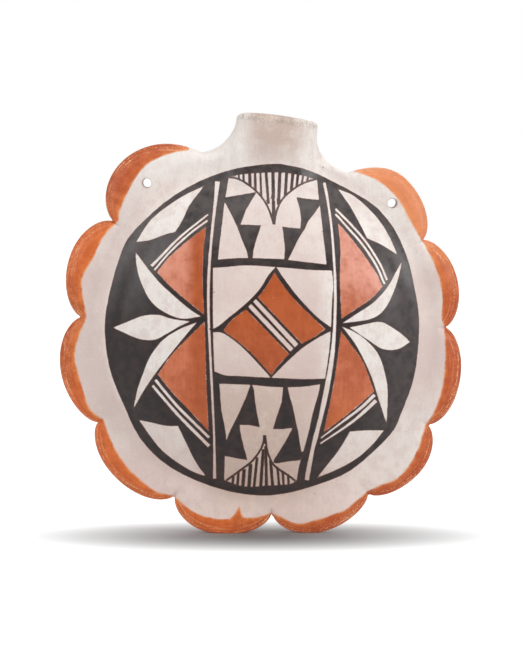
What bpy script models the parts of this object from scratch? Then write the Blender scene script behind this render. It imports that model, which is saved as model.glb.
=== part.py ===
"""Pottery canteen: a flat round water bottle of fired clay with a scalloped rim and a short neck.

It is made the way a potter builds it. Two shallow bowls meet rim to rim and hold the water. A
coil laid round their seam is flattened into a flange and pinched into ten lobes, two of which
are pierced for the carrying cord. The neck sits astride the seam at the top, where the coil
stops on either side of it. The canteen stands on its two lowest lobes with its front to -Y, and
the middle of its footprint is the origin. Lengths are in metres, and angles run from +X
towards +Z, seen from the front.
"""
import math

import bmesh
import bpy
from mathutils import Matrix, Vector

# Bowls, whose seam lies inside the flange
RIM_RADIUS = 0.0888
FLANGE_WIDTH = 0.0208
BOWL_RADIUS = RIM_RADIUS - FLANGE_WIDTH
BOWL_WALL = 0.005
FRONT_DEPTH = 0.028
BACK_DEPTH = 0.026
BACK_RING_WIDTH = 0.042
BACK_FLAT_RADIUS = BOWL_RADIUS - BACK_RING_WIDTH
BOWL_FULLNESS = 2.2
BOWL_SEGMENTS = 64
BOWL_ROWS = 9

# Scalloped rim
LOBE_DEPTH = 0.0100
FLANGE_ROOT_WIDTH = 0.0055
FLANGE_ROOT_RADIUS = BOWL_RADIUS + FLANGE_ROOT_WIDTH
FLANGE_HALF_THICKNESS = 0.0065
FLANGE_EDGE_FULLNESS = 3.0
FILLET_WIDTH = 0.012
FILLET_INNER_RADIUS = FLANGE_ROOT_RADIUS - FILLET_WIDTH
FILLET_LAP = 0.0008
FOOT_WEAR = 0.0007
NOTCH_SHARPNESS = 0.6
SHOULDER_SHARPNESS = 1.1
PINCH_SHARE = 0.25
HALF_LOBE_STEPS = 6
FLANGE_STEP_SHARES = (0.35, 0.65, 0.84, 0.95)

# The rim's lobes from the left of the neck round to its right: the angle of each crown, and how
# far it swells past the rim radius, in lobe depths
CROWN_SHARES = (
    (127.5, 0.47),
    (157.0, -0.12),
    (193.0, -0.12),
    (226.0, 0.02),
    (255.0, 0.06),
    (287.0, 0.14),
    (317.0, 0.20),
    (341.0, -0.15),
    (375.5, -0.29),
    (407.0, 0.01),
)

# Where the lobes end: the left shoulder of the neck, the nine notches and the right shoulder,
# each with its angle and how far it lies inside the rim radius, in lobe depths
NOTCH_SHARES = (
    (107.8, 0.93),
    (143.4, 1.10),
    (175.5, 1.25),
    (209.0, 0.89),
    (242.2, 0.96),
    (272.9, 1.10),
    (302.9, 0.60),
    (330.7, 0.77),
    (361.3, 1.12),
    (389.7, 1.05),
    (422.3, 1.28),
)
FOOT_LOBES = (4, 5)

# Cord holes
CORD_HOLE_RADIUS = 0.0019
LEFT_CORD_HOLE_INSET = 0.0092
LEFT_CORD_HOLE_OUT = RIM_RADIUS - LEFT_CORD_HOLE_INSET
LEFT_CORD_HOLE_ANGLE = 127.6
RIGHT_CORD_HOLE_INSET = 0.0114
RIGHT_CORD_HOLE_OUT = RIM_RADIUS - RIGHT_CORD_HOLE_INSET
RIGHT_CORD_HOLE_ANGLE = 44.8
CORD_HOLE_SEGMENTS = 16

# Neck
NECK_ANGLE = 85.3
NECK_HALF_WIDTH = 0.0172
NECK_HALF_DEPTH = 0.0168
NECK_ROOT_LAP = 0.008
NECK_ROOT_HEIGHT = BOWL_RADIUS - NECK_ROOT_LAP
NECK_RISE = 0.0306
NECK_LIP_HEIGHT = NECK_ROOT_HEIGHT + NECK_RISE
NECK_LIP_ROUND = 0.0016
NECK_LIP_SLOPE = 0.045
THROAT_RADIUS = 0.009
MOUTH_RADIUS = 0.0118
MOUTH_DEPTH = 0.0126
MOUTH_BOTTOM_HEIGHT = NECK_LIP_HEIGHT - MOUTH_DEPTH
MOUTH_TAPER_DEPTH = 0.010
THROAT_TOP_HEIGHT = MOUTH_BOTTOM_HEIGHT - MOUTH_TAPER_DEPTH
NECK_SEGMENTS = 40
LIP_STEPS = 3

# The neck's cross sections from its root to the start of its lip. Each row has the height between
# the root and the lip, the sideways shift in half widths, the half width and the half depth
NECK_SECTION_SHARES = (
    (0.00, -0.10, 1.45, 0.73),
    (0.20, -0.12, 1.52, 0.76),
    (0.36, -0.15, 1.56, 0.79),
    (0.44, -0.18, 1.44, 0.82),
    (0.52, -0.16, 1.27, 0.86),
    (0.60, -0.13, 1.15, 0.90),
    (0.70, -0.10, 1.07, 0.94),
    (0.84, -0.06, 1.01, 0.98),
)

# Fits
CLEARANCE = 0.0003
OVERRUN = 0.004
SMOOTH_ANGLE = 35.0

# Clay colours: red, green and blue with the roughness
CREAM_SLIP = ((0.76, 0.68, 0.63), 0.62)
PINK_SLIP = ((0.72, 0.62, 0.57), 0.66)
BARE_CLAY = ((0.66, 0.56, 0.48), 0.75)
ORANGE_PAINT = ((0.60, 0.22, 0.09), 0.64)


def clay_material(name, finish):
    """A dull fired-clay material."""
    colour, roughness = finish
    material = bpy.data.materials.new(name)
    material.use_nodes = True
    shader = material.node_tree.nodes["Principled BSDF"]
    shader.inputs["Base Color"].default_value = (*colour, 1.0)
    shader.inputs["Roughness"].default_value = roughness
    shader.inputs["Metallic"].default_value = 0.0
    return material


def add_object(name, bm, material=None):
    """Turn a bmesh into a scene object with its faces pointing out."""
    bmesh.ops.recalc_face_normals(bm, faces=bm.faces)
    mesh = bpy.data.meshes.new(name)
    bm.to_mesh(mesh)
    bm.free()
    obj = bpy.data.objects.new(name, mesh)
    bpy.context.scene.collection.objects.link(obj)
    if material:
        mesh.materials.append(material)
        mesh.shade_smooth()
        mesh.set_sharp_from_angle(angle=math.radians(SMOOTH_ANGLE))
    return obj


def mark_cutter(obj):
    """Keep a cutter out of the finished object."""
    obj.hide_render = True
    obj.display_type = "WIRE"
    return obj


def add_boolean(obj, other, operation="DIFFERENCE"):
    """Cut or join one object with another."""
    modifier = obj.modifiers.new(f"{operation.lower()}_{other.name}", "BOOLEAN")
    modifier.operation = operation
    modifier.object = other
    modifier.solver = "EXACT"


def turned(profile, axis, segments):
    """Spin a profile of (radius, along) points round an axis through the disc's centre."""
    bm = bmesh.new()
    side = axis.orthogonal().normalized()
    verts = [bm.verts.new(side * radius + axis * along) for radius, along in profile]
    edges = [bm.edges.new(pair) for pair in zip(verts, verts[1:])]
    bmesh.ops.spin(bm, geom=verts + edges, cent=(0, 0, 0), axis=axis, angle=math.tau,
                   steps=segments, use_merge=True)
    bmesh.ops.remove_doubles(bm, verts=bm.verts, dist=CLEARANCE / segments)
    return bm


def lofted(sections):
    """Skin a row of closed sections with equal point counts, and cap both ends."""
    bm = bmesh.new()
    rings = []
    for section in sections:
        verts = [bm.verts.new(point) for point in section]
        rings.append([bm.edges.new(pair) for pair in zip(verts, verts[1:] + verts[:1])])
    for ring, following in zip(rings, rings[1:]):
        bmesh.ops.bridge_loops(bm, edges=ring + following)
    for ring in (rings[0], rings[-1]):
        bmesh.ops.contextual_create(bm, geom=ring)
    return bm


def on_disc(angle, radius, depth=0.0):
    """A point given by its angle in degrees and radius on the disc, and its depth behind the seam."""
    turn = math.radians(angle)
    return Vector((radius * math.cos(turn), depth, radius * math.sin(turn)))


# Bowls

def dome_depth(radius, seam_radius, depth, flat_radius):
    """How far a bowl's surface stands off the seam plane at a radius."""
    reach = max(radius - flat_radius, 0.0) / (seam_radius - flat_radius)
    return depth * math.sqrt(max(1 - reach ** BOWL_FULLNESS, 0.0))


def dome_slope(radius, seam_radius, depth, flat_radius):
    """How steeply the same surface falls towards the seam there."""
    span = seam_radius - flat_radius
    reach = (radius - flat_radius) / span
    fall = BOWL_FULLNESS * reach ** (BOWL_FULLNESS - 1) / 2
    return depth * fall / (span * math.sqrt(1 - reach ** BOWL_FULLNESS))


def dome_profile(seam_radius, depth, flat_radius):
    """Points down a bowl's surface from its middle to the seam, closer together at the edge."""
    points = [(0.0, depth)]
    for row in range(BOWL_ROWS + 1):
        reach = math.sin(math.pi / 2 * row / BOWL_ROWS)
        radius = flat_radius + (seam_radius - flat_radius) * reach
        if radius > 0:
            points.append((radius, dome_depth(radius, seam_radius, depth, flat_radius)))
    return points


def bowl(name, towards, depth, flat_radius, material):
    """One bowl: a turned clay wall whose lip lies half a clearance off the seam plane."""
    gap = CLEARANCE / 2
    outer = [(radius, gap + along) for radius, along in
             dome_profile(BOWL_RADIUS, depth - gap, flat_radius)]
    inner = [(radius, gap + along) for radius, along in
             dome_profile(BOWL_RADIUS - BOWL_WALL, depth - gap - BOWL_WALL, flat_radius)]
    bm = turned(outer + inner[::-1], towards, BOWL_SEGMENTS)
    return add_object(name, bm, material)


def bowls_envelope():
    """What the rim and the neck are seated on: both bowls as one solid, larger by the clearance."""
    radius = BOWL_RADIUS + CLEARANCE
    front = dome_profile(radius, FRONT_DEPTH + CLEARANCE, 0.0)
    back = dome_profile(radius, BACK_DEPTH + CLEARANCE, BACK_FLAT_RADIUS)
    profile = [(along_radius, -along) for along_radius, along in front[:-1]]
    profile += [(along_radius, along) for along_radius, along in back[::-1]]
    return mark_cutter(add_object("bowls_envelope", turned(profile, Vector((0, 1, 0)), BOWL_SEGMENTS)))


# Rim

def corner_radius(share):
    """A notch's or shoulder's distance from the disc's centre."""
    return RIM_RADIUS - LOBE_DEPTH * share


def rim_spokes():
    """Angle, outer radius and half thickness of each spoke of the rim, from shoulder to shoulder.

    From a notch to a crown the outline follows a quarter of a flattened circle, and the clay
    is pinched thinner at the notches. At the neck's two shoulders it stays thick and turns gently.
    """
    spokes = []
    last = len(CROWN_SHARES) - 1
    for index, (crown_angle, crown_share) in enumerate(CROWN_SHARES):
        crown = RIM_RADIUS + LOBE_DEPTH * crown_share
        for side, (corner_angle, corner_share) in enumerate(NOTCH_SHARES[index:index + 2]):
            shoulder = index == last * side and side == (index > 0)
            sharpness = SHOULDER_SHARPNESS if shoulder else NOTCH_SHARPNESS
            pinch = 0.0 if shoulder else PINCH_SHARE
            corner = corner_radius(corner_share)
            half = []
            for step in range(HALF_LOBE_STEPS + 1):
                way = 1 - math.cos(math.pi / 2 * step / HALF_LOBE_STEPS)
                rise = (1 - (1 - way) ** 2) ** sharpness
                angle = corner_angle + (crown_angle - corner_angle) * way
                thickness = FLANGE_HALF_THICKNESS * (1 - pinch * (1 - rise))
                half.append((angle, corner + (crown - corner) * rise, thickness))
            spokes += half[:-1] if side == 0 else half[::-1]
        if index < last:
            spokes.pop()
    return spokes


def rim_section(angle, outer_radius, half_thickness):
    """The rim's cross section on one spoke: a fillet off each bowl, a flange and a rounded edge."""
    side = []
    for depth, flat_radius in ((FRONT_DEPTH, 0.0), (BACK_DEPTH, BACK_FLAT_RADIUS)):
        dome = (FILLET_INNER_RADIUS, BOWL_RADIUS, depth, flat_radius)
        lap = dome_depth(*dome) + FILLET_LAP
        start = Vector((FILLET_INNER_RADIUS, lap))
        end = Vector((FLANGE_ROOT_RADIUS, half_thickness))
        run = (lap - half_thickness) / dome_slope(*dome)
        bend = Vector((min(start.x + run, end.x), half_thickness))
        points = [Vector((FILLET_INNER_RADIUS - OVERRUN, lap)), start]
        for step in range(1, 4):
            share = step / 4
            points.append(start.lerp(bend, share).lerp(bend.lerp(end, share), share))
        points.append(end)
        for share in FLANGE_STEP_SHARES:
            radius = FLANGE_ROOT_RADIUS + (outer_radius - FLANGE_ROOT_RADIUS) * share
            height = half_thickness * (1 - share ** FLANGE_EDGE_FULLNESS) ** (1 / FLANGE_EDGE_FULLNESS)
            points.append(Vector((radius, height)))
        side.append(points)
    front, back = side
    section = [on_disc(angle, point.x, -point.y) for point in front]
    section.append(on_disc(angle, outer_radius))
    section += [on_disc(angle, point.x, point.y) for point in back[::-1]]
    return section


def foot_height(spokes):
    """Height of the disc's centre above the ground, with both foot lobes worn flat."""
    lowest = []
    for lobe in FOOT_LOBES:
        start, end = NOTCH_SHARES[lobe][0], NOTCH_SHARES[lobe + 1][0]
        depths = [-on_disc(angle, radius).z for angle, radius, _ in spokes if start <= angle <= end]
        lowest.append(max(depths))
    return min(lowest) - FOOT_WEAR


def cord_hole_cutter(name, angle, out):
    """A round pin through the flange."""
    reach = FLANGE_HALF_THICKNESS + OVERRUN
    profile = [(0.0, -reach), (CORD_HOLE_RADIUS, -reach), (CORD_HOLE_RADIUS, reach), (0.0, reach)]
    bm = turned(profile, Vector((0, 1, 0)), CORD_HOLE_SEGMENTS)
    bmesh.ops.translate(bm, verts=bm.verts, vec=on_disc(angle, out))
    return mark_cutter(add_object(name, bm))


def ground_cutter(disc_height):
    """A block under the ground that wears the foot lobes flat."""
    bm = bmesh.new()
    bmesh.ops.create_cube(bm, size=RIM_RADIUS)
    width = RIM_RADIUS / 2
    bmesh.ops.translate(bm, verts=bm.verts, vec=(0, 0, -disc_height - width))
    return mark_cutter(add_object("ground_cutter", bm))


def scalloped_rim(spokes, envelope, disc_height, material):
    """The pinched flange, seated on the bowls, pierced and worn flat underneath."""
    sections = [rim_section(*spoke) for spoke in spokes]
    rim = add_object("scalloped_rim", lofted(sections), material)
    add_boolean(rim, envelope)
    add_boolean(rim, cord_hole_cutter("left_cord_hole", LEFT_CORD_HOLE_ANGLE, LEFT_CORD_HOLE_OUT))
    add_boolean(rim, cord_hole_cutter("right_cord_hole", RIGHT_CORD_HOLE_ANGLE, RIGHT_CORD_HOLE_OUT))
    add_boolean(rim, ground_cutter(disc_height))
    return rim


# Neck

def neck_frame():
    """Turns the neck's own upright axes to where it leans on the disc."""
    return Matrix.Rotation(math.radians(90.0 - NECK_ANGLE), 4, "Y")


def neck_section(height, shift, half_width, half_depth):
    """An oval section of the neck, tilted more towards the lip, which is uneven."""
    tilt = NECK_LIP_SLOPE * max(height - NECK_ROOT_HEIGHT, 0.0) / NECK_RISE
    section = []
    for step in range(NECK_SEGMENTS):
        turn = math.tau * step / NECK_SEGMENTS
        x = shift + half_width * math.cos(turn)
        section.append(Vector((x, half_depth * math.sin(turn), height - tilt * x)))
    return section


def spout():
    """The neck's outside: a flaring foot, a short tube and a rounded lip."""
    sections = []
    for height, shift, width, depth in NECK_SECTION_SHARES:
        sections.append(neck_section(NECK_ROOT_HEIGHT + NECK_RISE * height, NECK_HALF_WIDTH * shift,
                                     NECK_HALF_WIDTH * width, NECK_HALF_DEPTH * depth))
    last_shift = NECK_HALF_WIDTH * NECK_SECTION_SHARES[-1][1]
    for step in range(LIP_STEPS + 1):
        turn = math.pi / 2 * step / LIP_STEPS
        drop = NECK_LIP_ROUND * (1 - math.sin(turn))
        draw_in = NECK_LIP_ROUND * (1 - math.cos(turn))
        sections.append(neck_section(NECK_LIP_HEIGHT - drop, last_shift,
                                     NECK_HALF_WIDTH - draw_in, NECK_HALF_DEPTH - draw_in))
    bm = lofted(sections)
    bmesh.ops.transform(bm, matrix=neck_frame(), verts=bm.verts)
    return bm


def saddle():
    """The flange carried on between the two shoulders, under the spout."""
    left, right = NOTCH_SHARES[0], NOTCH_SHARES[-1]
    start, end = right[0] - 360.0, left[0]
    sections = []
    for step in range(2 * HALF_LOBE_STEPS + 1):
        share = step / (2 * HALF_LOBE_STEPS)
        angle = start + (end - start) * share
        radius = corner_radius(right[1] + (left[1] - right[1]) * share)
        sections.append(rim_section(angle, radius, FLANGE_HALF_THICKNESS))
    return mark_cutter(add_object("neck_saddle", lofted(sections)))


def shoulder_cutter(name, corner, towards):
    """A block that parts the neck from the end of the rim, with the clearance between them."""
    bm = bmesh.new()
    bmesh.ops.create_cube(bm, size=2 * RIM_RADIUS)
    bmesh.ops.translate(bm, verts=bm.verts, vec=(RIM_RADIUS, 0, towards * (RIM_RADIUS - CLEARANCE)))
    turn = Matrix.Rotation(-math.radians(corner[0]), 4, "Y")
    bmesh.ops.transform(bm, matrix=turn, verts=bm.verts)
    return mark_cutter(add_object(name, bm))


def bore_cutter():
    """The way from the mouth down through the throat into the bowls."""
    floor = BOWL_RADIUS - BOWL_WALL - THROAT_RADIUS
    top = NECK_LIP_HEIGHT + OVERRUN
    profile = [
        (0.0, floor),
        (THROAT_RADIUS, floor),
        (THROAT_RADIUS, THROAT_TOP_HEIGHT),
        (MOUTH_RADIUS, MOUTH_BOTTOM_HEIGHT),
        (MOUTH_RADIUS, NECK_LIP_HEIGHT - 2 * NECK_LIP_ROUND),
        (MOUTH_RADIUS + NECK_LIP_ROUND, NECK_LIP_HEIGHT + NECK_LIP_ROUND),
        (MOUTH_RADIUS + NECK_LIP_ROUND, top),
        (0.0, top),
    ]
    bm = turned(profile, Vector((0, 0, 1)), NECK_SEGMENTS)
    bmesh.ops.transform(bm, matrix=neck_frame(), verts=bm.verts)
    return mark_cutter(add_object("bore_cutter", bm))


def neck(envelope, bore, material):
    """The spout and its saddle as one piece of clay, seated astride the bowls' seam."""
    piece = add_object("neck", spout(), material)
    add_boolean(piece, saddle(), "UNION")
    add_boolean(piece, envelope)
    add_boolean(piece, bore)
    left = shoulder_cutter("left_shoulder_cutter", NOTCH_SHARES[0], 1)
    right = shoulder_cutter("right_shoulder_cutter", NOTCH_SHARES[-1], -1)
    add_boolean(piece, left)
    add_boolean(piece, right)
    return piece


def build():
    """Make the four clay pieces about the disc's centre, then stand them on the ground."""
    for obj in list(bpy.data.objects):
        bpy.data.objects.remove(obj, do_unlink=True)

    spokes = rim_spokes()
    disc_height = foot_height(spokes)
    outline = [on_disc(angle, radius) for angle, radius, _ in spokes]
    middle = (min(point.x for point in outline) + max(point.x for point in outline)) / 2

    envelope = bowls_envelope()
    bore = bore_cutter()
    front = bowl("front_shell", Vector((0, -1, 0)), FRONT_DEPTH, 0.0,
                 clay_material("front_slip", CREAM_SLIP))
    back = bowl("back_shell", Vector((0, 1, 0)), BACK_DEPTH, BACK_FLAT_RADIUS,
                clay_material("back_clay", BARE_CLAY))
    for shell in (front, back):
        add_boolean(shell, bore)
    scalloped_rim(spokes, envelope, disc_height, clay_material("rim_paint", ORANGE_PAINT))
    neck(envelope, bore, clay_material("neck_slip", PINK_SLIP))

    canteen = bpy.data.objects.new("canteen", None)
    bpy.context.scene.collection.objects.link(canteen)
    canteen.location = (-middle, (FRONT_DEPTH - BACK_DEPTH) / 2, disc_height)
    for obj in bpy.context.scene.objects:
        if obj is not canteen:
            obj.parent = canteen


build()
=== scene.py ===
"""Pottery canteen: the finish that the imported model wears.

The four clay pieces are modelled again with fine, hand-smoothed skins and then painted: cream
slip, black band and figures, orange fields and orange lobes. Everything is worked out in
millimetres about the middle of the disc, on the seam of its two bowls, with x to the right,
y to the back and z up. The painted lines were read off the photograph, so their points are
photograph pixels, and the paint is carried onto the clay along the camera's line of sight.
"""
import math

import bmesh
import bpy
import numpy as np
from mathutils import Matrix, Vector


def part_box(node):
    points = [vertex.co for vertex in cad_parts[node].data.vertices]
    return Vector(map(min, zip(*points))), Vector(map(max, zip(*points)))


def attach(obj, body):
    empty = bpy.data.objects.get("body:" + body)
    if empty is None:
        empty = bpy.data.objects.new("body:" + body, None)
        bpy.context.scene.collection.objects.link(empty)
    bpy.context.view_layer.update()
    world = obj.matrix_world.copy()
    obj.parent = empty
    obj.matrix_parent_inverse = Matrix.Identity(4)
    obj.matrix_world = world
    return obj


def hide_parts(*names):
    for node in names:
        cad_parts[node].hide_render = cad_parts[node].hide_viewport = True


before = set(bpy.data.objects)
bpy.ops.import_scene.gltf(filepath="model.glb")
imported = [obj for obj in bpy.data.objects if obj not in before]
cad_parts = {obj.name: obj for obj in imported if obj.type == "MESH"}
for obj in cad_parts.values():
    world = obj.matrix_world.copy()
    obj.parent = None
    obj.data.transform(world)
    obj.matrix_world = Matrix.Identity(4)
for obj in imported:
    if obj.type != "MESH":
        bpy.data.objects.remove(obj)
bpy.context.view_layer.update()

METRE = 1000.0

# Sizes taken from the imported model
front_low, front_high = (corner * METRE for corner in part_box("front_shell"))
back_low, back_high = (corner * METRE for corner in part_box("back_shell"))
BOWL_RADIUS = (front_high.x - front_low.x) / 2
SEAM_Y = (front_high.y + back_low.y) / 2
FRONT_DEPTH = SEAM_Y - front_low.y
BACK_DEPTH = back_high.y - SEAM_Y
DISC_MIDDLE = np.array(((front_low.x + front_high.x) / 2, SEAM_Y, front_low.z + BOWL_RADIUS))

# Bowls
BOWL_WALL = 5.0
BOWL_FULLNESS = 2.2
BACK_FLAT_RADIUS = 26.0
SKIN_SEAM_RADIUS = 61.5
CHAMBER_RINGS = (61.5, 60.0, 57.5, 54.0, 49.0, 42.0, 33.0, 22.0, 10.0, 0.0)
FRONT_GRID_STEPS = 172
BACK_GRID_STEPS = 120

# Scalloped rim: each lobe's crown and, from the neck's left shoulder round to its right one, the
# notches between the lobes, as an angle in degrees and a radius
CROWNS = (
    (127.5, 93.5), (157.0, 87.6), (193.0, 87.6), (226.0, 89.0), (255.0, 89.4),
    (287.0, 90.2), (317.0, 90.8), (341.0, 87.3), (375.5, 85.9), (407.0, 88.9),
)
NOTCHES = (
    (107.8, 79.5), (143.4, 77.8), (175.5, 76.3), (209.0, 79.9), (242.2, 79.2), (272.9, 77.8),
    (302.9, 82.8), (330.7, 81.1), (361.3, 77.6), (389.7, 78.3), (422.3, 76.0),
)
NOTCH_SHARPNESS = 0.6
SHOULDER_SHARPNESS = 1.1
PINCH = 0.25
FLANGE_ROOT_RADIUS = 73.5
FLANGE_HALF_THICKNESS = 6.5
FLANGE_ROUNDING = 3.0
BLANK_EDGE_RADIUS = 90.0
RIM_STEPS = 680
RIM_HOLLOW_END_RADIUS = 70.0
RIM_ROOT_START_RADIUS = 70.9
RIM_HOLLOW_ROWS = 18
RIM_ROOT_ROWS = 4
RIM_BACK_ROWS = 12
RIM_FLANGE_ROWS = 22
RIM_LEDGE_RADIUS = 62.6
RIM_END_FROM_NECK = 10.75
CHAMBER_EDGE_RADIUS = 63.0

# Cord holes, as an angle, a radius on the disc and the hole's own radius
CORD_HOLES = ((127.6, 79.6, 1.9), (44.8, 77.4, 1.9))
CORD_HOLE_FLARE = 0.9
CUTTER_ROWS = 12
CUTTER_STEPS = 40
CUTTER_OVERRUN = 0.6
WATER_SPACE_LIMIT = FLANGE_ROOT_RADIUS - 3.0

# Neck; its sections are a height share, then shift, half width and half depth as shares
NECK_ANGLE = 85.3
NECK_HALF_WIDTH = 17.2
NECK_HALF_DEPTH = 16.8
NECK_ROOT_HEIGHT = 60.0
NECK_RISE = 30.6
LIP_SLOPE = 0.045
LIP_NOD = 0.07
LIP_BASE_SHARE = 0.93
LIP_ROUNDING = 2.2
MOUTH_RADIUS = 11.8
THROAT_RADIUS = 9.0
BORE_PROFILE = ((56.5, THROAT_RADIUS), (68.0, THROAT_RADIUS), (78.0, MOUTH_RADIUS),
                (88.0, MOUTH_RADIUS))
NECK_SECTIONS = (
    (0.20, -0.12, 1.52, 0.76),
    (0.36, -0.15, 1.56, 0.79),
    (0.44, -0.18, 1.44, 0.82),
    (0.52, -0.16, 1.27, 0.86),
    (0.60, -0.13, 1.15, 0.90),
    (0.70, -0.10, 1.07, 0.94),
    (0.84, -0.06, 1.01, 0.98),
    (1.00, -0.05, 1.00, 1.00),
)
NECK_STEPS = 240
LIP_ROWS = 12
TUBE_ROWS = 20
SKIRT_ROWS = 30
BORE_ROWS = 12
SKIRT_TOP_AT_SIDES = 0.80
SKIRT_TOP_AT_MIDDLE = 0.40
SKIRT_FOOT_SPREAD = 23.3
SKIRT_FOOT_RADIUS = 54.0
SKIRT_FLOW = 0.36
SKIRT_EVENING = 30
SKIRT_SPREAD_POWER = 0.7
SKIRT_DIP_POWER = 1.5
SKIRT_MIDDLE_RADIUS = 70.0
SKIRT_TUCK_ALONG = 0.8
SKIRT_TUCK_IN = 0.35
SLOPE_STEP = 0.02
TUBE_SLOPE_STEP = 0.01
SHARP_ANGLE = math.radians(32)

# Hand-made unevenness: a wave's direction in turns per metre, its phase, and how far it pushes
HAND_WAVES = (
    ((17.0, 6.0, 11.0), 0.4, (0.10, 0.22, 0.08)),
    ((-9.0, 4.0, 23.0), 1.9, (0.08, -0.16, 0.12)),
    ((31.0, -8.0, -14.0), 3.1, (-0.06, 0.10, 0.07)),
    ((12.0, 20.0, -29.0), 5.2, (0.05, 0.09, -0.06)),
)

# Camera: the photograph is 522 by 652 pixels
IMAGE_WIDTH = 522
IMAGE_MIDDLE = (261.0, 326.0)
DISC_PIXEL = (262.0, 331.0)
PIXEL_SIZE = 0.426
CAMERA_DISTANCE = 1000.0
CAMERA_ELEVATION = math.radians(5.0)
CAMERA_FORWARD = np.array((0.0, math.cos(CAMERA_ELEVATION), -math.sin(CAMERA_ELEVATION)))
CAMERA_UP = np.array((0.0, math.sin(CAMERA_ELEVATION), math.cos(CAMERA_ELEVATION)))
CAMERA_RIGHT = np.array((1.0, 0.0, 0.0))
CAMERA_AIM = (CAMERA_RIGHT * (IMAGE_MIDDLE[0] - DISC_PIXEL[0])
              + CAMERA_UP * (DISC_PIXEL[1] - IMAGE_MIDDLE[1])) * PIXEL_SIZE
CAMERA_PLACE = CAMERA_AIM - CAMERA_FORWARD * CAMERA_DISTANCE


# Painted marks, in photograph pixels

def flowing(points, steps=6):
    """A smooth line through given points; a third value, a width, flows along with them."""
    points = np.array(points, float)
    if len(points) < 3:
        return points
    before = np.vstack((2 * points[0] - points[1], points, 2 * points[-1] - points[-2]))
    line = []
    for a, b, c, d in zip(before, before[1:], before[2:], before[3:]):
        for step in range(steps):
            t = step / steps
            line.append(b + t * (c - a) / 2 + t * t * (2 * a - 5 * b + 4 * c - d) / 2
                        + t ** 3 * (3 * b - a - 3 * c + d) / 2)
    line.append(points[-1])
    return np.array(line)


def area(*sides):
    """A painted area: each side flows on to the next one's first point, with a sharp corner there."""
    closed = zip(sides, sides[1:] + sides[:1])
    return np.vstack([flowing((*side, following[0]))[:-1] for side, following in closed])


def straight_area(*corners):
    """A painted area with straight sides."""
    return np.array(corners, float)


def stroke(*points):
    """A brush stroke through points that each have the stroke's width there."""
    return flowing(points)


def even_stroke(width, *points):
    """A brush stroke of one width."""
    return stroke(*[(*point, width) for point in points])


BAND = area((
    (280, 163.7), (308, 170), (340, 185), (368, 201), (382, 213), (396, 232), (408, 260),
    (415, 290), (419, 318), (418, 350), (413, 381), (401, 414), (393, 431), (373, 452),
    (348, 472), (318, 484.5), (285, 493.5), (255, 495.3), (220, 489), (185, 475.5),
    (158, 458), (138, 435), (125, 408), (110, 370), (104.7, 330), (108, 300), (117, 265),
    (128, 238.5), (150, 215), (172, 197), (200, 181), (230, 170), (260, 164.8),
))

LEAVES = (
    area(((204, 186), (185, 195), (165, 208), (150, 221)),
         ((136, 242), (150, 240), (166, 234)),
         ((175, 232), (182, 221), (190, 204.5))),
    area(((135.5, 251.5), (137.5, 270), (144, 289), (153, 303.5), (168, 314), (183, 318.5)),
         ((201, 316.5), (188, 308), (165, 288), (152, 274), (140, 258))),
    area(((113.5, 327.5), (127, 322), (143, 316), (158, 315), (172, 319)),
         ((190, 321.5), (180, 326), (168, 333), (155, 339.5), (140, 339), (126, 333.5))),
    area(((196.5, 322.5), (178, 330), (162, 341), (150, 357), (143, 374), (137.5, 390)),
         ((133.5, 408.5), (146, 387), (161, 366), (180, 342))),
    area(((139, 420), (153, 423), (168, 426)),
         ((178, 426), (186, 443), (195, 461)),
         ((205.5, 476), (192, 471), (174, 460), (158, 446))),
    area(((338, 189), (353, 195.5), (368, 208), (381, 223), (390, 238)),
         ((397.5, 255), (383, 245.5)),
         ((367, 238), (360, 224), (350, 206))),
    area(((343, 323), (358, 313), (373, 303), (387, 288), (396, 272)),
         ((401.5, 262.5), (398, 279), (390, 300), (381, 313), (368, 319.5))),
    area(((350, 327.5), (362, 325), (380, 322), (392, 327.5), (404, 336)),
         ((410, 342), (398, 349), (383, 349), (369, 340.5))),
    area(((342, 326.5), (356, 333), (368, 342), (378, 354), (384, 370), (387.5, 390)),
         ((386.7, 424), (379, 400), (370, 373), (356, 345))),
    area(((350, 431.5), (366, 430.5)),
         ((383.5, 430.5), (372, 445), (357, 458), (340, 468)),
         ((317.5, 477.5), (328, 464), (339, 450))),
)
SIDE_STRIPES = (
    stroke((151.5, 266, 2.6), (160, 257.5, 2.4), (180, 237, 2.0), (208, 214.5, 1.6)),
    even_stroke(1.8, (154.5, 270), (170, 252), (190, 233.5), (207.5, 220.5)),
    stroke((152.5, 385.5, 2.5), (165, 400, 2.6), (180, 417, 2.8), (209, 446, 3.0)),
    even_stroke(2.5, (155.5, 380), (166, 393), (180, 409), (209, 437.5)),
    even_stroke(2.0, (335.5, 209), (350, 223.5), (366, 242), (380, 264), (387, 280)),
    even_stroke(2.0, (335.5, 214), (348, 228), (362, 244), (376, 265), (384.5, 284)),
    stroke((374.5, 395, 3.0), (362, 407, 2.6), (345, 420, 2.0), (321, 438, 1.1)),
    stroke((376, 400.5, 3.5), (366, 410, 3.2), (350, 423.5, 2.3), (320.5, 443.5, 1.2)),
)
FRAMING_LINES = (
    stroke((217.5, 181.5, 4.8), (215.6, 200, 3.2), (212.3, 230, 2.6), (209.6, 260, 2.5),
           (208.4, 290, 2.7), (208.7, 320, 2.2), (210.5, 360, 2.2), (212.5, 400, 2.1),
           (214.2, 440, 1.8), (214.6, 478.5, 3.0)),
    stroke((324.3, 182.5, 2.8), (327.6, 200, 2.3), (331.2, 225, 2.1), (333.4, 250, 2.2),
           (334.9, 275, 2.4), (335.3, 300, 2.6), (334.6, 325, 2.8), (333.4, 345, 3.6),
           (331.6, 360, 4.2), (328.4, 380, 4.6), (324.5, 400, 4.9), (320, 420, 3.9),
           (314.9, 440, 4.3), (312.4, 450, 3.7), (308.5, 470, 4.2), (306.8, 480, 4.3)),
)
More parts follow.
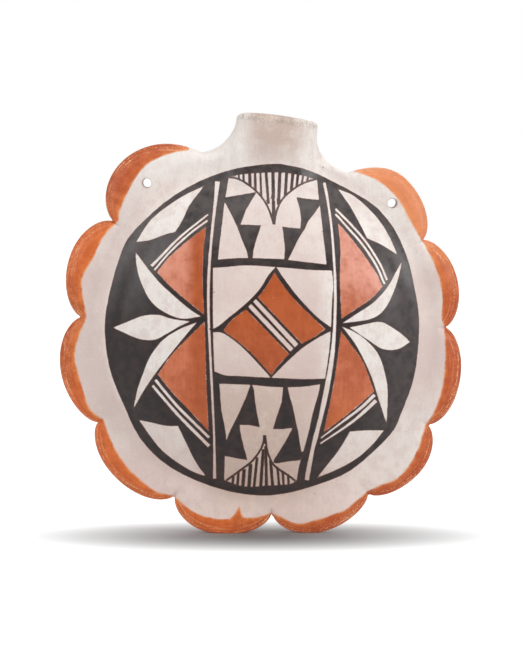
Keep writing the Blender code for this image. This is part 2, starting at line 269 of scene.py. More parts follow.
MIDDLE_GROUNDS = (
    area(((229, 177), (240, 174.7), (260, 173), (280, 172.4), (297, 174.5), (308, 177)),
         ((317, 180), (319, 200), (320, 206), (322.5, 230), (325, 250)),
         ((326.3, 264.3), (300, 261.3), (277, 258.8), (240, 258)),
         ((218, 259.5), (219.5, 245), (222, 225), (225, 200))),
    area(((213, 268), (235, 266.2), (250, 265.5), (283, 267.7), (310, 270)),
         ((331.8, 270.7), (333.2, 285), (332, 300), (331.3, 320), (330, 340), (328.5, 355)),
         ((325, 378.5), (305, 379), (268, 377.5), (240, 376), (226, 375.3)),
         ((214.5, 371.5), (213.5, 345), (213, 320))),
    area(((219.5, 383.8), (250, 385), (275, 387), (300, 387)),
         ((320, 384.5), (318, 395), (313.5, 410), (309, 430), (304, 449), (299.3, 465)),
         ((296.5, 480), (291, 483.5), (280, 485), (265, 485.7), (250, 486.6), (238, 485)),
         ((224.2, 480), (225, 456), (226.3, 439), (224.5, 425), (221.5, 410))),
)
STEPS = (
    straight_area((225, 197.3), (240, 194.8), (255.6, 192.2), (256, 193.5), (251, 201.5), (246, 210),
                  (240.6, 224.5), (261, 225.2), (258.3, 234), (255.5, 243), (253.6, 250), (252.6, 259.5),
                  (248.5, 259.5), (246.6, 251), (242, 240), (237, 226.5), (231, 214), (225.2, 203),
                  (222, 200)),
    straight_area((296.3, 197), (304, 198.3), (322, 200.3), (319.6, 205.8), (315, 212.5), (308, 221.5),
                  (304.5, 229.5), (299, 238), (293.5, 249), (287.6, 261), (284, 260), (284.9, 250),
                  (284.3, 243), (283.2, 232), (282, 226.4), (290, 227.7), (300.3, 228.5), (301, 219),
                  (300, 210), (298.3, 204)),
    straight_area((250.6, 384), (252.6, 385.5), (254, 390), (255.2, 402), (257.2, 414), (260, 427.3),
                  (250, 425.3), (240, 424.8), (240.2, 431), (243.8, 447), (247.6, 460.3), (236, 458.2),
                  (222, 455.5), (221, 438), (226.5, 439.6), (230.3, 430), (236, 419), (240, 410.5),
                  (246, 397)),
    straight_area((283.2, 385), (287.3, 385), (290, 397), (293, 407), (295.6, 420), (298, 431),
                  (301.5, 452), (306, 450), (300.6, 460), (288, 461.6), (276, 463.6), (273, 462.6),
                  (274.2, 459), (280, 450), (287, 438.5), (292.4, 428), (283, 429.2), (272.8, 429.2),
                  (278, 412), (281.6, 402)),
)
LUNETTE_ARCS = (
    even_stroke(2.0, (229, 177.3), (236, 178.3), (243, 181.3), (249, 185.4), (255, 190), (261, 196.4),
                (266, 203.6), (269.7, 211.5), (272.2, 219), (273.6, 224.5)),
    even_stroke(2.0, (316, 179.3), (308, 181.4), (300, 184.8), (293, 189.5), (286.5, 194.7),
                (281.3, 200.8), (277.7, 208), (275.7, 215), (274.4, 224.5)),
    even_stroke(2.3, (264.4, 435), (263.6, 441.5), (260.6, 449.6), (255, 457.8), (250, 463), (242, 469),
                (233, 475.6), (226, 480.6)),
    even_stroke(2.3, (264.9, 435), (265.8, 441.5), (267.1, 450.5), (270, 458.6), (273, 464),
                (278.2, 468.8), (284.3, 472.8), (290.3, 477), (295.5, 481)),
    stroke((264.7, 435.5, 3.6), (264.7, 444, 3.0)),
)
# Hatching: each line's upper end, lower end and width
HATCHES = (
    (238.7, 172, 238.9, 179, 1.7), (243.3, 172, 243.7, 181, 2.1), (249.5, 171, 250.1, 186, 2.9),
    (255.1, 171, 255.3, 190, 2.3), (260.3, 171, 261.4, 197, 2.0), (266.0, 171, 268.4, 204, 2.5),
    (272.9, 171, 273.8, 222, 3.0), (280.0, 171, 278.4, 205, 2.9), (286.7, 171, 285.3, 196, 2.8),
    (293.0, 172, 291.3, 190, 2.7), (298.3, 172, 296.6, 187, 2.4), (303.6, 173, 301.8, 184, 2.1),
    (308.4, 174, 307.0, 182, 1.9),
    (233.4, 476, 232.2, 488, 2.4), (238.5, 472, 237.2, 488, 2.4), (244.2, 469, 242.7, 488, 3.1),
    (250.6, 464, 248.7, 489, 3.3), (257.2, 457, 253.8, 489, 2.5), (263.3, 449, 260.5, 489, 2.9),
    (265.7, 446, 266.5, 489, 2.8), (270.5, 460, 272.8, 488, 2.8), (277.4, 467, 279.3, 488, 2.3),
    (282.7, 471, 283.8, 488, 2.3), (288.0, 474, 288.8, 487, 2.3),
)
DIAMOND = area(
    ((276, 266.5), (268, 276), (258, 291.3), (243, 306), (230, 316.5), (216, 327.6)),
    ((208.5, 328.2), (212, 332.2), (222, 333), (236, 342), (250, 355), (262, 368)),
    ((271, 378), (287, 362), (302, 348.5), (318, 338)),
    ((332, 330.6), (331, 327.5), (315, 315), (295, 293), (283, 277)),
)
DIAMOND_STRIPES = (
    straight_area((248.2, 306.8), (251, 304), (293.3, 348.6), (290.4, 351.4)),
    straight_area((253.3, 301.8), (256, 299.2), (298.2, 344), (295, 347.2)),
)
ORANGE_FIELDS = (
    area(((206, 227), (190, 239), (170, 256.5)),
         ((157, 272), (170, 286), (185, 299)),
         ((204, 314.5), (202.5, 280), (203.5, 250))),
    area(((204.5, 322), (186, 340), (170, 357)),
         ((158, 374.5), (172, 392), (190, 411)),
         ((208.5, 431), (206.5, 390), (205.5, 355))),
    area(((338, 223), (350, 237), (364, 255), (376, 273)),
         ((382.5, 286.5), (372, 298), (353, 311)),
         ((341.5, 318.5), (340, 280), (340.5, 250))),
    area(((341, 331), (352, 346), (363, 362), (370, 380)),
         ((374, 391), (360, 404), (340, 420)),
         ((324, 432), (330, 403), (334.5, 380), (338, 355))),
    area(((274.5, 272.5), (282, 284), (295, 300), (309, 314)),
         ((325, 329), (315, 336.5)),
         ((302, 343.5),),
         ((258, 297.5), (266, 287))),
    area(((246, 309.5),),
         ((289, 354), (277, 367)),
         ((271.5, 375), (258, 360), (245, 347)),
         ((223.5, 330.5), (232, 320))),
)
# The line where the orange of the lobes starts, lobe by lobe, closed over the neck
LOBE_LINE = area(
    ((190, 150.5), (175, 153), (160, 158), (145, 167.5), (134, 182), (126, 198), (120.5, 211)),
    ((119, 221), (107, 233.5), (100, 244), (93, 260), (84, 275), (82.5, 284), (84, 300)),
    ((87.5, 318), (80.5, 334), (75.7, 352), (77, 366), (83, 388), (90, 408)),
    ((104, 419.5), (110, 436), (117, 451), (130, 469), (143, 481), (157, 491)),
    ((174, 495), (188, 507), (200, 514), (216, 518), (230, 517.5), (239.5, 506), (243.5, 516),
     (252, 517), (263, 515)),
    ((270.5, 512), (280, 515.5), (292, 521.7), (302, 522.7), (320, 518), (343, 510), (355, 501)),
    ((368.5, 490), (380, 484.5), (396, 478), (410, 463), (419, 444)),
    ((425, 424), (431, 416), (438, 400), (442.5, 381), (444.6, 360), (444.3, 340)),
    ((443, 326.5), (441, 315), (442, 300), (439.5, 283), (433, 263)),
    ((424, 245), (410, 222), (401, 205), (390, 191), (376, 180.5), (365, 175.8)),
    ((352, 171.3),),
    ((352, 90),),
    ((190, 90),),
)
HATCH_WEIGHT = 1.15
# How far a mark is felt around it and a fine line beside it, in pixels, and an edge, in millimetres
PAINT_REACH = 7.0
FINE_REACH = 0.7
PAINT_EDGE_REACH = 0.55


def hatching(rows):
    """Straight strokes, one for each row of ends and width."""
    return tuple(even_stroke(width * HATCH_WEIGHT, (x0, y0), (x1, y1)) for x0, y0, x1, y1, width in rows)


THIN_BLACK_MARKS = (*LUNETTE_ARCS, *hatching(HATCHES))
GROUNDS = (*LEAVES, *SIDE_STRIPES, *FRAMING_LINES, *MIDDLE_GROUNDS)
BLACK_MARKS = (*STEPS, *THIN_BLACK_MARKS, DIAMOND)
RESERVES = (*ORANGE_FIELDS, *DIAMOND_STRIPES)
FINE_MARKS = (*SIDE_STRIPES, *FRAMING_LINES, *THIN_BLACK_MARKS)


def cover(places, mark):
    """How deep each place lies inside a mark, in pixels: below zero outside, never past the reach.

    A stroke has a width beside each of its points, and an area has none.
    """
    depth = np.full(len(places), -PAINT_REACH)
    low = mark[:, :2].min(0) - PAINT_REACH
    high = mark[:, :2].max(0) + PAINT_REACH
    near = np.all((places > low) & (places < high), axis=1)
    if near.any():
        inside = stroke_depth if mark.shape[1] == 3 else area_depth
        depth[near] = np.clip(inside(places[near], mark), -PAINT_REACH, PAINT_REACH)
    return depth


def deepest(places, marks):
    """How deep each place lies inside any of the marks."""
    return np.max([cover(places, mark) for mark in marks], axis=0)


def along_segment(spots, start, end):
    """The share along a segment where each spot is nearest, and its distance there."""
    span = end - start
    share = np.clip((spots - start) @ span / max(span @ span, 1e-9), 0, 1)
    return share, np.linalg.norm(spots - start - share[:, None] * span, axis=1)


def stroke_depth(spots, line):
    """Depth inside a stroke with square ends: half its width, less the distance from its middle."""
    best = np.full(len(spots), -np.inf)
    for start, end in zip(line, line[1:]):
        share, distance = along_segment(spots, start[:2], end[:2])
        best = np.maximum(best, (start[2] + (end[2] - start[2]) * share) / 2 - distance)
    for tip, following in ((line[0], line[1]), (line[-1], line[-2])):
        inward = (following - tip)[:2]
        best = np.minimum(best, (spots - tip[:2]) @ inward / np.linalg.norm(inward))
    return best


def area_depth(spots, line):
    """Depth inside an area: the distance to its outline, below zero outside it."""
    best = np.full(len(spots), np.inf)
    inside = np.zeros(len(spots), bool)
    for start, end in zip(line, np.roll(line, -1, axis=0)):
        best = np.minimum(best, along_segment(spots, start, end)[1])
        if start[1] != end[1]:
            level = (start[1] > spots[:, 1]) != (end[1] > spots[:, 1])
            cross = start[0] + (spots[:, 1] - start[1]) * (end[0] - start[0]) / (end[1] - start[1])
            inside ^= level & (spots[:, 0] < cross)
    return np.where(inside, best, -best)


def photo_places(points):
    """Where points on the clay lie in the photograph; the back is painted as the front's mirror."""
    facing = points.copy()
    facing[:, 1] = -np.abs(facing[:, 1])
    offset = facing - CAMERA_PLACE
    scale = CAMERA_DISTANCE / PIXEL_SIZE / (offset @ CAMERA_FORWARD)
    return np.stack((IMAGE_MIDDLE[0] + offset @ CAMERA_RIGHT * scale,
                     IMAGE_MIDDLE[1] - offset @ CAMERA_UP * scale), axis=1)


def painted_figures(points):
    """Depth in millimetres inside the black paint and inside the orange fields."""
    places = photo_places(points)
    black = np.minimum(cover(places, BAND), -deepest(places, GROUNDS))
    black = np.maximum(black, deepest(places, BLACK_MARKS))
    black = np.minimum(black, -deepest(places, RESERVES))
    orange = deepest(places, ORANGE_FIELDS)
    front = points[:, 1] <= 0
    return [np.where(front, paint, -PAINT_REACH) * PIXEL_SIZE for paint in (black, orange)]


def lobe_orange(points):
    """Distance in millimetres past the line where the orange of the lobes starts."""
    return -cover(photo_places(points), LOBE_LINE) * PIXEL_SIZE


# Shape of the clay, in millimetres about the middle of the disc

def scallop(angle):
    """The rim's outline radius, and how much of its edge is pinched, at angles in degrees."""
    first, last = NOTCHES[0], NOTCHES[-1]
    angle = np.mod(angle - first[0], 360.0) + first[0]
    radius = np.interp(angle, (last[0], first[0] + 360), (last[1], first[1]))
    pinched = np.zeros(np.shape(angle))
    for index, (crown_angle, crown) in enumerate(CROWNS):
        for corner_angle, corner in NOTCHES[index:index + 2]:
            way = (angle - corner_angle) / (crown_angle - corner_angle)
            within = (way >= 0) & (way <= 1)
            shoulder = corner_angle in (first[0], last[0])
            sharpness = SHOULDER_SHARPNESS if shoulder else NOTCH_SHARPNESS
            rise = (1 - (1 - np.clip(way, 0, 1)) ** 2) ** sharpness
            radius = np.where(within, corner + (crown - corner) * rise, radius)
            if not shoulder:
                pinched = np.where(within, PINCH * (1 - rise), pinched)
    return radius, pinched


def dome_depth(radius, depth, seam_radius, flat_radius):
    """How far a bowl's surface stands off the seam plane."""
    reach = np.clip((radius - flat_radius) / (seam_radius - flat_radius), 0, 1)
    return depth * np.sqrt(1 - reach ** BOWL_FULLNESS)


def bowl_form(back):
    """A bowl's depth and the radius of its flat middle."""
    return np.where(back, BACK_DEPTH, FRONT_DEPTH), np.where(back, BACK_FLAT_RADIUS, 0.0)


def skin_depth(radius, angle, back):
    """How far the skin stands off the seam plane: dome, hollow, flange and the flange's round edge."""
    edge, pinched = scallop(angle)
    thickness = FLANGE_HALF_THICKNESS
    depth, flat_radius = bowl_form(back)
    dome = (depth, BOWL_RADIUS, flat_radius)
    start = dome_depth(SKIN_SEAM_RADIUS, *dome)
    fall = dome_depth(SKIN_SEAM_RADIUS - 0.5, *dome) - dome_depth(SKIN_SEAM_RADIUS + 0.5, *dome)
    bend = np.minimum(SKIN_SEAM_RADIUS + (start - thickness) / fall, FLANGE_ROOT_RADIUS)
    curve = SKIN_SEAM_RADIUS - 2 * bend + FLANGE_ROOT_RADIUS
    slope = 2 * (bend - SKIN_SEAM_RADIUS)
    past = np.maximum(radius - SKIN_SEAM_RADIUS, 0)
    share = 2 * past / (slope + np.sqrt(np.maximum(slope ** 2 + 4 * curve * past, 0)))
    share = np.clip(share, 0, 1)
    hollow = (1 - share) ** 2 * start + (1 - (1 - share) ** 2) * thickness
    out = np.clip((radius - FLANGE_ROOT_RADIUS) / (edge - FLANGE_ROOT_RADIUS), 0, 1)
    thinned = thickness * (1 - pinched * out * out * (3 - 2 * out))
    flange = thinned * (1 - out ** FLANGE_ROUNDING) ** (1 / FLANGE_ROUNDING)
    return np.where(radius < SKIN_SEAM_RADIUS, dome_depth(radius, *dome),
                    np.where(radius < FLANGE_ROOT_RADIUS, hollow, flange))


def on_disc(radius, angle, y):
    """Points from their radius and angle in degrees on the disc."""
    turn = np.radians(angle)
    return np.stack((radius * np.cos(turn), y, radius * np.sin(turn)), axis=-1)


def inner_depth(radius, back):
    """How far a bowl's inner wall stands off the seam plane."""
    depth, flat_radius = bowl_form(back)
    return dome_depth(radius, depth - BOWL_WALL, CHAMBER_EDGE_RADIUS, flat_radius)


def chamber_depth(radius, angle, back):
    """How far the water space reaches off the seam plane, opened out under the throat."""
    turn = np.radians(angle - NECK_ANGLE)
    aside = radius * np.sin(turn)
    above = radius * np.cos(turn) > BORE_PROFILE[0][0] - BOWL_WALL
    throat = np.sqrt(np.maximum(THROAT_RADIUS ** 2 - aside ** 2, 0)) * above
    return np.maximum(inner_depth(radius, back), throat)


def swayed(points):
    """The same shape with the slow unevenness of a hand-built pot, standing on flat ground."""
    moved = points.copy()
    for direction, phase, push in HAND_WAVES:
        wave = np.sin(points @ np.array(direction) * math.tau / METRE + phase)
        moved += wave[:, None] * np.array(push)
    moved[:, 2] = np.maximum(moved[:, 2], -DISC_MIDDLE[2])
    return moved


def read_blank(bm):
    """A blank's vertex places as an array."""
    return np.array([vert.co[:] for vert in bm.verts])


def disc_places(mesh):
    """A finished mesh's vertex places, in millimetres about the middle of the disc."""
    return np.array([vert.co[:] for vert in mesh.vertices]) * METRE - DISC_MIDDLE


def placed(name, data):
    """A mesh, a lamp or a camera as an object in the scene."""
    piece = bpy.data.objects.new(name, data)
    bpy.context.scene.collection.objects.link(piece)
    return piece


def built(name, bm):
    """A finished blank as an object in the scene."""
    mesh = bpy.data.meshes.new(name)
    bm.to_mesh(mesh)
    bm.free()
    return placed(name, mesh)


def write_attribute(mesh, name, values):
    """Store one number per vertex."""
    mesh.attributes.new(name, "FLOAT", "POINT").data.foreach_set("value", np.float32(values))


def finish_piece(name, bm, points, inside, node, material):
    """Give a blank its real shape and its material, and let it stand for its CAD node.

    Recalculating can turn a hollow bowl inside out, which its volume then shows.
    """
    for vert, place in zip(bm.verts, (swayed(points) + DISC_MIDDLE) / METRE):
        vert.co = place
    bmesh.ops.recalc_face_normals(bm, faces=bm.faces)
    if bm.calc_volume(signed=True) < 0:
        bmesh.ops.reverse_faces(bm, faces=bm.faces)
    piece = built(name, bm)
    piece.data.materials.append(material)
    write_attribute(piece.data, "inside", inside)
    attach(piece, "root")
    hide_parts(node)
    return piece


def paint_piece(piece):
    """Smooth the skin, then store the figures, the lobes' orange and the brush's sweep on it."""
    mesh = piece.data
    mesh.shade_smooth()
    mesh.set_sharp_from_angle(angle=SHARP_ANGLE)
    points = disc_places(mesh)
    black, orange = painted_figures(points)
    write_attribute(mesh, "black", black)
    write_attribute(mesh, "orange", orange)
    write_attribute(mesh, "lobe", lobe_orange(points))
    angle = np.degrees(np.arctan2(points[:, 2], points[:, 0]))
    past_edge = np.hypot(points[:, 0], points[:, 2]) - scallop(angle)[0]
    sweep = np.stack((np.radians(angle) * BOWL_RADIUS, past_edge, points[:, 1]), axis=1)
    sweeps = mesh.attributes.new("sweep", "FLOAT_VECTOR", "POINT")
    sweeps.data.foreach_set("vector", np.float32(sweep).ravel())


# Bowls

def disc_from_square(across, up):
    """Radius share and angle on a disc of points on a square, both without crowding."""
    wide = np.abs(across) > np.abs(up)
    longer = np.where(wide, across, up)
    shorter = np.where(wide, up, across)
    turn = shorter / np.where(longer == 0, 1, longer) * 45.0
    angle = np.where(wide, turn, 90.0 - turn) + np.where(longer < 0, 180.0, 0.0)
    return np.abs(longer), angle


def next_level(bm, border):
    """Pull a border of edges up to the next level, and return the new border and its vertices."""
    pulled = bmesh.ops.extrude_edge_only(bm, edges=border)["geom"]
    verts = [item for item in pulled if isinstance(item, bmesh.types.BMVert)]
    bmesh.ops.translate(bm, verts=verts, vec=(0, 0, 1))
    return [item for item in pulled if isinstance(item, bmesh.types.BMEdge) and item.is_boundary], verts


def bowl_blank(steps):
    """A flat square of skin with the inner wall's rings hanging from its border, one level each."""
    bm = bmesh.new()
    bmesh.ops.create_grid(bm, x_segments=steps, y_segments=steps, size=1.0)
    border = [edge for edge in bm.edges if edge.is_boundary]
    for _ in CHAMBER_RINGS:
        border, verts = next_level(bm, border)
    bmesh.ops.pointmerge(bm, verts=verts, merge_co=(1, 0, len(CHAMBER_RINGS)))
    return bm


def bowl_points(blank, back=False):
    """Where a bowl's blank goes: its skin on level zero, then the inner wall ring by ring."""
    share, angle = disc_from_square(blank[:, 0], blank[:, 1])
    level = np.rint(blank[:, 2]).astype(int)
    inner = level > 0
    radius = np.where(inner, np.array((0.0, *CHAMBER_RINGS))[level], share * SKIN_SEAM_RADIUS)
    depth = np.where(inner, chamber_depth(radius, angle, back), skin_depth(radius, angle, back))
    return on_disc(radius, angle, depth if back else -depth), inner


def halve_squares(bm, shape, wanted):
    """Halve a blank's squares wherever a test on their real places asks for it."""
    points, inner = shape(read_blank(bm))
    chosen = wanted(points) & ~inner
    bm.verts.index_update()
    edges = [edge for edge in bm.edges if chosen[edge.verts[0].index] and chosen[edge.verts[1].index]]
    bmesh.ops.subdivide_edges(bm, edges=edges, cuts=1, use_grid_fill=True)


def near_painted_edge(points):
    """True beside every edge of the painted figures."""
    black, orange = painted_figures(points)
    return np.minimum(np.abs(black), np.abs(orange)) < PAINT_EDGE_REACH


def near_fine_line(points):
    """True under the thin strokes and right beside them."""
    return deepest(photo_places(points), FINE_MARKS) > -FINE_REACH


def front_bowl(material):
    """The painted bowl."""
    bm = bowl_blank(FRONT_GRID_STEPS)
    halve_squares(bm, bowl_points, near_painted_edge)
    halve_squares(bm, bowl_points, near_fine_line)
    points, inner = bowl_points(read_blank(bm))
    return finish_piece("front_bowl", bm, points, inner, "front_shell", material)


def back_bowl(material):
    """The plain bowl, a little flattened in its middle."""
    bm = bowl_blank(BACK_GRID_STEPS)
    points, inner = bowl_points(read_blank(bm), True)
    return finish_piece("back_bowl", bm, points, inner, "back_shell", material)


# Scalloped rim

def rim_section():
    """The rim's blank section, as radius and side.

    The side is -1 on the front skin, 1 on the back skin, half that on the wall inside and 0 on the
    seam and at the very edge.
    """
    front = (*np.linspace(SKIN_SEAM_RADIUS, RIM_HOLLOW_END_RADIUS, RIM_HOLLOW_ROWS),
             *np.linspace(RIM_ROOT_START_RADIUS, FLANGE_ROOT_RADIUS, RIM_ROOT_ROWS))
    back = np.linspace(SKIN_SEAM_RADIUS, FLANGE_ROOT_RADIUS, RIM_BACK_ROWS)
    span = BLANK_EDGE_RADIUS - FLANGE_ROOT_RADIUS
    flange = [FLANGE_ROOT_RADIUS + span * math.sin(math.pi / 2 * row / RIM_FLANGE_ROWS)
              for row in range(1, RIM_FLANGE_ROWS)]
    return [(SKIN_SEAM_RADIUS, 0.5), (RIM_LEDGE_RADIUS, 0.5), (CHAMBER_EDGE_RADIUS, 0.0),
            (RIM_LEDGE_RADIUS, -0.5), (SKIN_SEAM_RADIUS, -0.5),
            *[(radius, -1.0) for radius in (*front, *flange)], (BLANK_EDGE_RADIUS, 0.0),
            *[(radius, 1.0) for radius in (*back, *flange)][::-1]]


def rim_blank():
    """The section spun round from one side of the neck to the other, with both ends closed."""
    bm = bmesh.new()
    start = math.radians(NECK_ANGLE + RIM_END_FROM_NECK)
    verts = [bm.verts.new((radius * math.cos(start), side, radius * math.sin(start)))
             for radius, side in rim_section()]
    edges = [bm.edges.new(pair) for pair in zip(verts, verts[1:] + verts[:1])]
    turn = math.tau - math.radians(2 * RIM_END_FROM_NECK)
    spun = bmesh.ops.spin(bm, geom=verts + edges, cent=(0, 0, 0), axis=(0, -1, 0), angle=turn,
                          steps=RIM_STEPS, use_merge=False)
    last = [item for item in spun["geom_last"] if isinstance(item, bmesh.types.BMEdge)]
    for ends in (edges, last):
        bmesh.ops.contextual_create(bm, geom=ends)
    return bm


def rim_points(blank):
    """Where the rim's blank goes once the flange is drawn out to the lobes and pinched."""
    angle = np.degrees(np.arctan2(blank[:, 2], blank[:, 0]))
    radius = np.hypot(blank[:, 0], blank[:, 2])
    side = blank[:, 1]
    edge = scallop(angle)[0]
    out = (radius - FLANGE_ROOT_RADIUS) / (BLANK_EDGE_RADIUS - FLANGE_ROOT_RADIUS)
    real = np.where(out > 0, FLANGE_ROOT_RADIUS + (edge - FLANGE_ROOT_RADIUS) * out, radius)
    inner = (np.abs(side) < 0.9) & (radius < FLANGE_ROOT_RADIUS)
    depth = np.where(inner, inner_depth(real, side > 0), skin_depth(real, angle, side > 0))
    y = np.where(np.abs(side) < 0.1, 0.0, np.sign(side) * depth)
    return on_disc(real, angle, y), inner


def cord_hole_cutter(angle, out, radius):
    """A pin that flares towards both faces of the flange, so that the hole's edges are soft."""
    bm = bmesh.new()
    profile = []
    for row in range(-CUTTER_ROWS, CUTTER_ROWS + 1):
        share = row / CUTTER_ROWS
        flare = CORD_HOLE_FLARE * (1 - math.sqrt(1 - min(abs(share), 0.999) ** 4))
        profile.append((radius + flare, share * (FLANGE_HALF_THICKNESS + CUTTER_OVERRUN)))
    profile = [(0, profile[0][1]), *profile, (0, profile[-1][1])]
    verts = [bm.verts.new((reach, y, 0)) for reach, y in profile]
    edges = [bm.edges.new(pair) for pair in zip(verts, verts[1:])]
    bmesh.ops.spin(bm, geom=verts + edges, cent=(0, 0, 0), axis=(0, 1, 0), angle=math.tau,
                   steps=CUTTER_STEPS, use_merge=True)
    bmesh.ops.remove_doubles(bm, verts=bm.verts, dist=0.001)
    bmesh.ops.recalc_face_normals(bm, faces=bm.faces)
    bmesh.ops.translate(bm, verts=bm.verts, vec=on_disc(out, angle, 0.0) + DISC_MIDDLE)
    bmesh.ops.scale(bm, verts=bm.verts, vec=(1 / METRE,) * 3)
    return built("cord_hole_cutter", bm)


def pierce(piece, cutters):
    """Cut the cord holes for good, and keep the new vertices out of the water space's bare clay."""
    for cutter in cutters:
        modifier = piece.modifiers.new("cord_hole", "BOOLEAN")
        modifier.operation = "DIFFERENCE"
        modifier.solver = "EXACT"
        modifier.object = cutter
    depsgraph = bpy.context.evaluated_depsgraph_get()
    pierced = bpy.data.meshes.new_from_object(piece.evaluated_get(depsgraph))
    pierced.name = piece.name
    inside = np.empty(len(pierced.vertices), np.float32)
    pierced.attributes["inside"].data.foreach_get("value", inside)
    places = disc_places(pierced)
    inside[np.hypot(places[:, 0], places[:, 2]) > WATER_SPACE_LIMIT] = 0
    pierced.attributes["inside"].data.foreach_set("value", inside)
    piece.modifiers.clear()
    piece.data = pierced
    for cutter in cutters:
        bpy.data.objects.remove(cutter, do_unlink=True)


def scalloped_rim(material):
    """The pinched flange with its ten lobes and two cord holes."""
    bm = rim_blank()
    halve_squares(bm, rim_points, near_fine_line)
    points, inner = rim_points(read_blank(bm))
    piece = finish_piece("scalloped_flange", bm, points, inner, "scalloped_rim", material)
    pierce(piece, [cord_hole_cutter(*hole) for hole in CORD_HOLES])
    return piece


# Neck

def section_column(column):
    """One column of the neck's sections as a smooth line against height share."""
    line = flowing([(row[0], row[column]) for row in NECK_SECTIONS], steps=8)
    return lambda share: np.interp(share, line[:, 0], line[:, 1])


neck_shift, neck_width, neck_depth = (section_column(column) for column in (1, 2, 3))


def leaned(aside, y, height):
    """From the neck's own upright axes to the disc's, with the lip's slope and nod added."""
    share = np.clip((height - NECK_ROOT_HEIGHT) / NECK_RISE, 0, 1)
    height = height - LIP_SLOPE * share * aside - LIP_NOD * share ** 2 * y
    lean = math.radians(90.0 - NECK_ANGLE)
    return np.stack((aside * math.cos(lean) + height * math.sin(lean), y + 0 * height,
                     height * math.cos(lean) - aside * math.sin(lean)), axis=-1)


def tube_section(share, turn):
    """Across and depth of the neck's outside, at a height share and an angle round the neck."""
    return np.stack((NECK_HALF_WIDTH * (neck_shift(share) + neck_width(share) * np.cos(turn)),
                     NECK_HALF_DEPTH * neck_depth(share) * np.sin(turn)))


def tube_point(share, turn):
    """A point on the neck's outside."""
    return leaned(*tube_section(share, turn), NECK_ROOT_HEIGHT + NECK_RISE * share + 0 * turn)


def unit(vectors):
    """Vectors of length one."""
    return vectors / np.linalg.norm(vectors, axis=-1, keepdims=True)


def skirt_foot(turn):
    """Where the neck's skirt meets the body, which way it arrives there, and the body's normal."""
    spread = np.sign(np.cos(turn)) * np.abs(np.cos(turn)) ** SKIRT_SPREAD_POWER
    angle = NECK_ANGLE - SKIRT_FOOT_SPREAD * spread
    edge = scallop(angle)[0]
    radius = edge - (edge - SKIRT_FOOT_RADIUS) * np.abs(np.sin(turn)) ** SKIRT_DIP_POWER
    side = np.where(turn > math.pi, -1.0, 1.0)
    depth, inward = skin_depth(np.stack((radius, radius - SLOPE_STEP)), angle, side > 0)
    foot = on_disc(radius, angle, side * depth)
    normal = unit(on_disc((inward - depth) / SLOPE_STEP, angle, side))
    away = unit((foot - on_disc(SKIRT_MIDDLE_RADIUS, NECK_ANGLE, 0.0)) * (1, 0, 1))
    arrival = unit(away - (away * normal).sum(axis=-1, keepdims=True) * normal)
    return foot, arrival, normal


def neck_rings():
    """The neck ring by ring: over the lip, down the outside, down the skirt, under it, up the bore."""
    turn = np.arange(NECK_STEPS) * math.tau / NECK_STEPS
    rings = []
    base = NECK_ROOT_HEIGHT + NECK_RISE * LIP_BASE_SHARE
    outer = tube_section(LIP_BASE_SHARE, turn)
    inner = MOUTH_RADIUS * np.stack((np.cos(turn), np.sin(turn)))
    for row in range(LIP_ROWS + 1):
        bend = math.pi * row / LIP_ROWS
        across = (inner + outer) / 2 - (outer - inner) / 2 * math.cos(bend)
        rings.append(leaned(*across, base + LIP_ROUNDING * math.sin(bend) + 0 * turn))
    skirt_top = SKIRT_TOP_AT_SIDES - (SKIRT_TOP_AT_SIDES - SKIRT_TOP_AT_MIDDLE) * np.sin(turn) ** 2
    for row in range(1, TUBE_ROWS + 1):
        rings.append(tube_point(LIP_BASE_SHARE + (skirt_top - LIP_BASE_SHARE) * row / TUBE_ROWS, turn))
    start = rings[-1]
    departure = unit(tube_point(skirt_top - TUBE_SLOPE_STEP, turn) - start)
    foot, arrival, normal = skirt_foot(turn)
    length = np.linalg.norm(foot - start, axis=-1, keepdims=True) * SKIRT_FLOW
    upper = start + departure * length
    lower = foot - arrival * length
    for _ in range(SKIRT_EVENING):
        lower = (np.roll(lower, 1, axis=0) + 2 * lower + np.roll(lower, -1, axis=0)) / 4
    for row in range(1, SKIRT_ROWS + 1):
        t = row / SKIRT_ROWS
        rings.append((1 - t) ** 3 * start + 3 * (1 - t) ** 2 * t * upper
                     + 3 * (1 - t) * t ** 2 * lower + t ** 3 * foot)
    rings.append(foot + arrival * SKIRT_TUCK_ALONG - normal * SKIRT_TUCK_IN)
    heights, radii = np.array(BORE_PROFILE).T
    for height in np.linspace(heights[0], base, BORE_ROWS + 1)[:-1]:
        radius = np.interp(height, heights, radii)
        rings.append(leaned(radius * np.cos(turn), radius * np.sin(turn), height + 0 * turn))
    return np.array(rings)


def between_rings(rings, row, column):
    """Places on the neck at row and column numbers that may lie between whole ones."""
    row = np.round(row, 4)
    column = np.round(column, 4)
    above = np.minimum(np.floor(row).astype(int), len(rings) - 2)
    left = np.floor(column).astype(int)
    down = (row - above)[:, None]
    along = (column - left)[:, None]
    left, right = left % NECK_STEPS, (left + 1) % NECK_STEPS
    upper, lower = (rings[ring, left] * (1 - along) + rings[ring, right] * along
                    for ring in (above, above + 1))
    return upper * (1 - down) + lower * down


